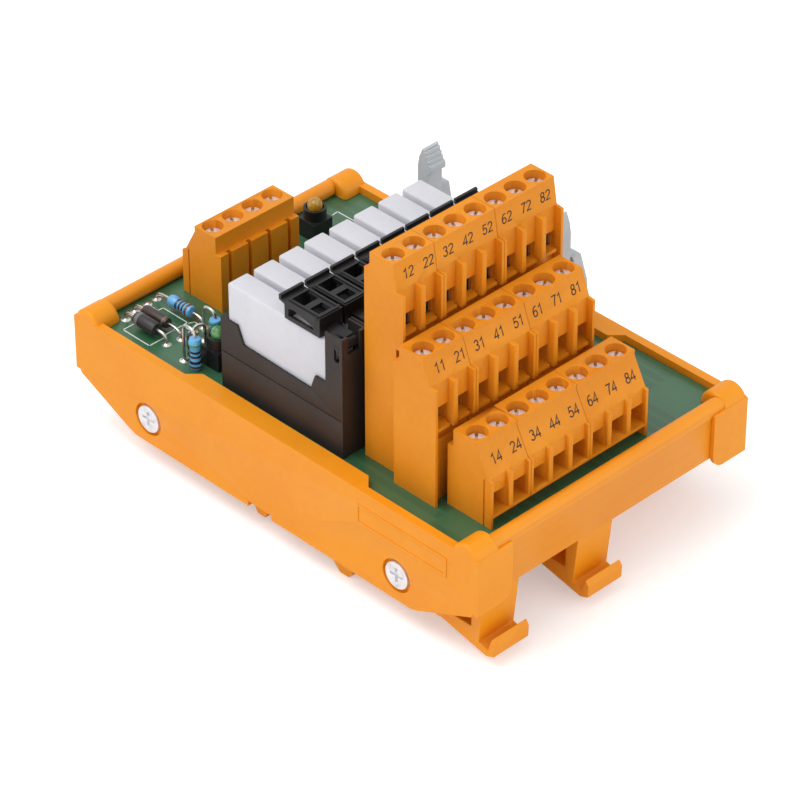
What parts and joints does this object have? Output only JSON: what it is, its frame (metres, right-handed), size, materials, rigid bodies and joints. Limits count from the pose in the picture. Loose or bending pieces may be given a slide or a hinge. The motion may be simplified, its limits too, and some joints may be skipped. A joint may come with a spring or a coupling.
{
  "type": "relay interface module",
  "caption": "Rail-mounted module with plug-in relays on a circuit board, tiered screw terminals, supply terminals and a ribbon cable header.",
  "frame": {"origin": "in the plane of the mounting rail's top flanges, on the rail's centre line, halfway along the carrier", "axes": "+X along the rail, +Y from the output terminals towards the supply terminals, +Z away from the rail"},
  "size_m": [0.071, 0.1091, 0.068],
  "materials": {
    "carrier_orange": "satin moulded and extruded plastic",
    "terminal_orange": "fine matt moulded plastic",
    "zinc_steel": "bright zinc plated",
    "tinned_metal": "tin plated",
    "relay_white": "smooth moulded plastic",
    "socket_black": "fine matt moulded plastic",
    "clip_black": "satin moulded plastic",
    "board_green": "solder mask over glass fibre",
    "header_grey": "moulded plastic",
    "lens_yellow": "clear tinted resin",
    "lens_green": "clear tinted resin",
    "resistor_blue": "lacquered body with colour bands, tinned leads",
    "diode_dark": "moulded body, tinned leads"
  },
  "bodies": {
    "module": {"carrier_profile": "carrier_orange", "circuit_board": "board_green", "clamp_cages": "tinned_metal", "cover_screws": "zinc_steel", "diode_large": "diode_dark", "diode_small": "diode_dark", "diode_upright": "diode_dark", "end_cover_left": "carrier_orange", "end_cover_right": "carrier_orange", "header_box": "header_grey", "header_pins": "tinned_metal", "holder_green": "clip_black", "holder_yellow": "clip_black", "led_green": "lens_green", "led_yellow": "lens_yellow", "rail_foot_inner": "carrier_orange", "rail_foot_outer": "carrier_orange", "relay_1": "relay_white", "relay_2": "relay_white", "relay_3": "relay_white", "relay_4": "relay_white", "relay_5": "relay_white", "relay_6": "relay_white", "relay_7": "relay_white", "relay_8": "relay_white", "resistor_flat": "resistor_blue", "resistor_front": "resistor_blue", "resistor_rear": "resistor_blue", "socket_1": "socket_black", "socket_2": "socket_black", "socket_3": "socket_black", "socket_4": "socket_black", "socket_5": "socket_black", "socket_6": "socket_black", "socket_7": "socket_black", "socket_8": "socket_black", "socket_contacts": "tinned_metal", "terminal_contacts": "tinned_metal", "terminal_low_a": "terminal_orange", "terminal_low_b": "terminal_orange", "terminal_low_c": "terminal_orange", "terminal_mid_a": "terminal_orange", "terminal_mid_b": "terminal_orange", "terminal_mid_c": "terminal_orange", "terminal_screws": "zinc_steel", "terminal_supply": "terminal_orange", "terminal_top_a": "terminal_orange", "terminal_top_b": "terminal_orange", "terminal_top_c": "terminal_orange"},
    "clip_1": {"clip_1": "clip_black"},
    "clip_2": {"clip_2": "clip_black"},
    "clip_3": {"clip_3": "clip_black"},
    "clip_4": {"clip_4": "clip_black"},
    "clip_5": {"clip_5": "clip_black"},
    "clip_6": {"clip_6": "clip_black"},
    "clip_7": {"clip_7": "clip_black"},
    "clip_8": {"clip_8": "clip_black"},
    "latch_rear": {"header_latch_rear": "header_grey"},
    "latch_front": {"header_latch_front": "header_grey"}
  },
  "joints": [
    {"name": "clip_1_hinge", "type": "hinge", "parent": "module", "child": "clip_1", "pos_m": [-0.02665, -0.01244, 0.0424], "axis": [1, 0, 0], "range_deg": [0, 70]},
    {"name": "clip_2_hinge", "type": "hinge", "parent": "module", "child": "clip_2", "pos_m": [-0.0203, -0.01244, 0.0424], "axis": [1, 0, 0], "range_deg": [0, 70]},
    {"name": "clip_3_hinge", "type": "hinge", "parent": "module", "child": "clip_3", "pos_m": [-0.01395, -0.01244, 0.0424], "axis": [1, 0, 0], "range_deg": [0, 70]},
    {"name": "clip_4_hinge", "type": "hinge", "parent": "module", "child": "clip_4", "pos_m": [-0.0076, -0.01244, 0.0424], "axis": [1, 0, 0], "range_deg": [0, 70]},
    {"name": "clip_5_hinge", "type": "hinge", "parent": "module", "child": "clip_5", "pos_m": [-0.00125, -0.01244, 0.0424], "axis": [1, 0, 0], "range_deg": [0, 70]},
    {"name": "clip_6_hinge", "type": "hinge", "parent": "module", "child": "clip_6", "pos_m": [0.0051, -0.01244, 0.0424], "axis": [1, 0, 0], "range_deg": [0, 70]},
    {"name": "clip_7_hinge", "type": "hinge", "parent": "module", "child": "clip_7", "pos_m": [0.01145, -0.01244, 0.0424], "axis": [1, 0, 0], "range_deg": [0, 70]},
    {"name": "clip_8_hinge", "type": "hinge", "parent": "module", "child": "clip_8", "pos_m": [0.0178, -0.01244, 0.0424], "axis": [1, 0, 0], "range_deg": [0, 70]},
    {"name": "latch_rear_hinge", "type": "hinge", "parent": "module", "child": "latch_rear", "pos_m": [0.0266, 0.021, 0.0236], "axis": [-1, 0, 0], "range_deg": [0, 35]},
    {"name": "latch_front_hinge", "type": "hinge", "parent": "module", "child": "latch_front", "pos_m": [0.0266, -0.0136, 0.0236], "axis": [1, 0, 0], "range_deg": [0, 35]}
  ]
}
